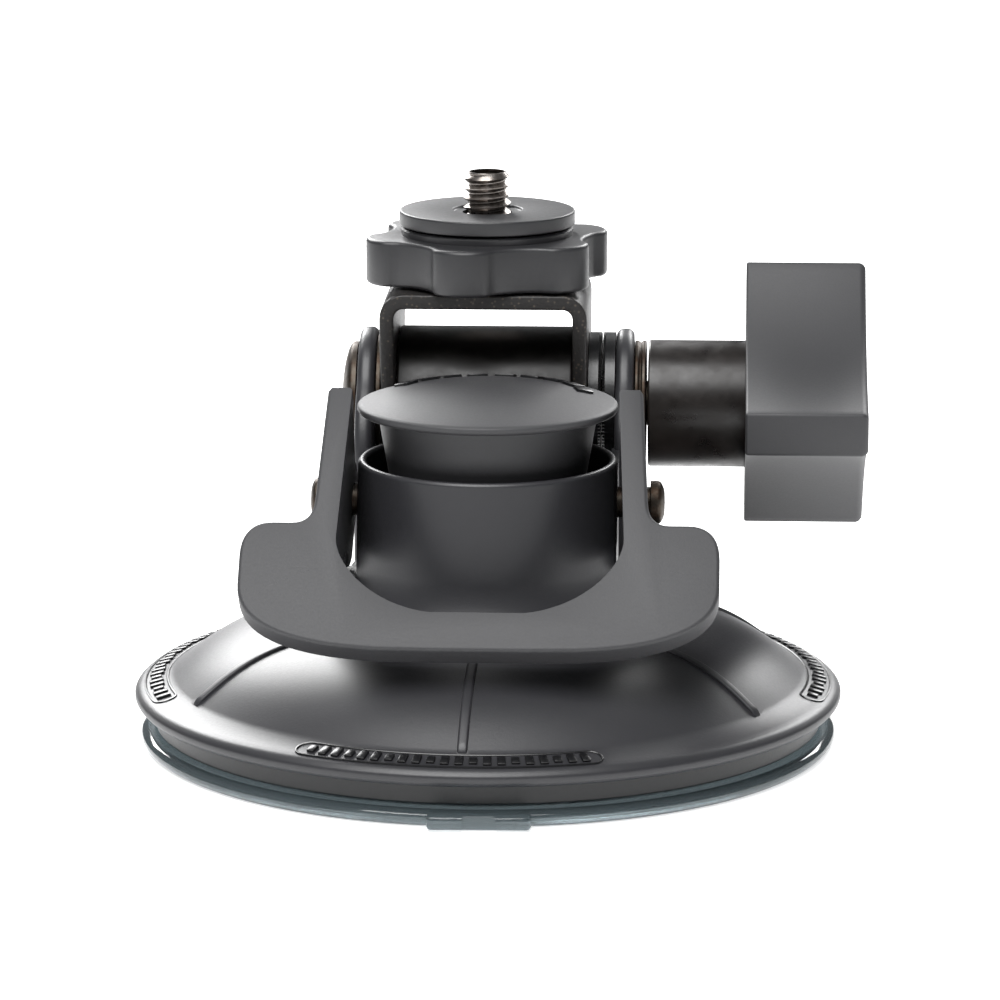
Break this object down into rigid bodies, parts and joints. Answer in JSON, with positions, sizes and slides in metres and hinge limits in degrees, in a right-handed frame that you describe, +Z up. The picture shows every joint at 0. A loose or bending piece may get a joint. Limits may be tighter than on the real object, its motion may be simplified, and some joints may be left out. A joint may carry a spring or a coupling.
{
  "type": "suction cup camera mount",
  "caption": "Round suction cup mount with a cam lever, a push cap, a tilting bracket clamped by a lobed knob, and a threaded camera seat with a lock ring.",
  "frame": {"origin": "centre of the membrane's flat underside, where the mount meets the glass or dashboard", "axes": "+Z up, away from the surface it is stuck to; +X towards the tilt knob, along the tilt axis; -Y towards the lever's thumb plate"},
  "size_m": [0.0954, 0.0929, 0.0701],
  "materials": {
    "shell_plastic": "moulded glass-filled nylon, fine satin texture",
    "lever_plastic": "moulded ABS, fine matt texture",
    "ring_plastic": "moulded ABS, satin",
    "clear_vinyl": "clear soft vinyl, glossy",
    "black_coat": "black powder coat, finely textured",
    "black_plastic": "black acetal, semi-gloss",
    "bright_steel": "plated steel, polished",
    "worn_steel": "zinc-plated steel, dulled and browned",
    "brass": "turned brass"
  },
  "bodies": {
    "base": {"base_shell": "shell_plastic", "suction_membrane": "clear_vinyl", "return_spring": "bright_steel", "tilt_bolt": "worn_steel", "outer_tooth_washer": "black_plastic"},
    "plunger": {"plunger_column": "black_plastic", "membrane_insert": "black_plastic", "push_cap": "lever_plastic", "lever_pin": "worn_steel", "pin_retainer": "worn_steel"},
    "lever": {"cam_lever": "lever_plastic"},
    "head": {"u_bracket": "black_coat", "pivot_barrel": "black_coat", "inner_tooth_washer": "black_plastic", "friction_washer": "bright_steel", "camera_screw": "bright_steel"},
    "pad": {"camera_pad": "ring_plastic"},
    "lock_ring": {"lock_ring": "ring_plastic", "lock_ring_nut": "brass"},
    "clamp_collar": {"thrust_collar": "worn_steel"},
    "knob": {"tilt_knob": "lever_plastic", "knob_sleeve": "black_plastic", "knob_bush": "brass"}
  },
  "joints": [
    {"name": "plunger_slide", "type": "slide", "parent": "base", "child": "plunger", "axis": [0, 0, 1], "range_m": [-0.0035, 0], "deforming": ["return_spring", "suction_membrane"]},
    {"name": "lever_hinge", "type": "hinge", "parent": "plunger", "child": "lever", "pos_m": [0, 0, 0.0312], "axis": [-1, 0, 0], "range_deg": [0, 60]},
    {"name": "head_tilt", "type": "hinge", "parent": "base", "child": "head", "pos_m": [0, 0.028, 0.0388], "axis": [1, 0, 0], "range_deg": [-90, 20]},
    {"name": "knob_slide", "type": "slide", "parent": "base", "child": "clamp_collar", "axis": [1, 0, 0], "range_m": [0, 0.0025]},
    {"name": "knob_spin", "type": "hinge", "parent": "clamp_collar", "child": "knob", "pos_m": [0.03, 0.028, 0.0388], "axis": [1, 0, 0], "range_deg": [0, 720]},
    {"name": "pad_lift", "type": "slide", "parent": "head", "child": "pad", "axis": [0, 0, 1], "range_m": [0, 0.00191]},
    {"name": "ring_spin", "type": "hinge", "parent": "pad", "child": "lock_ring", "pos_m": [-0.0014, 0.028, 0.0582], "axis": [0, 0, 1], "range_deg": [0, 540]}
  ],
  "couplings": [
    {"joint": "lever_hinge", "follows": "plunger_slide", "rad_per_m": -299.19},
    {"joint": "knob_spin", "follows": "knob_slide", "rad_per_m": 5026.5},
    {"joint": "ring_spin", "follows": "pad_lift", "rad_per_m": 4947.3}
  ]
}
